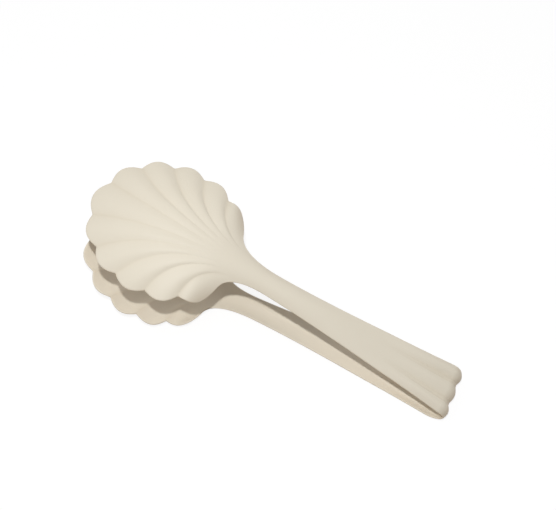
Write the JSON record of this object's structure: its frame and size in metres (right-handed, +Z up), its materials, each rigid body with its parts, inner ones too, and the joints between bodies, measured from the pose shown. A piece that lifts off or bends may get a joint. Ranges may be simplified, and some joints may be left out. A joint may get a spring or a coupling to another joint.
{
  "type": "salad tongs",
  "caption": "Sprung salad tongs with mirrored scallop-shell heads, channel-section handles and a fluted bow, squeezed by hand to lift salad.",
  "frame": {"origin": "on the table under the middle of the tongs' bounding box, with the tongs lying on the lower arm", "axes": "+X along the tongs from the bow to the shell tips, +Y across them, +Z up"},
  "size_m": [0.2556, 0.0852, 0.0807],
  "materials": {
    "coat": "matte cream powder coat on pressed steel sheet"
  },
  "bodies": {
    "lower": {"lower_arm": "coat", "spring_bow": "coat"},
    "upper": {"upper_arm": "coat"}
  },
  "joints": [
    {"name": "bow_flex", "type": "hinge", "parent": "lower", "child": "upper", "pos_m": [-0.11726, 0, 0.0105], "axis": [0, 1, 0], "range_deg": [-4, 10.5], "stiffness_Nm_per_rad": 6, "springref_deg": -1.2, "deforming": ["spring_bow"]}
  ]
}
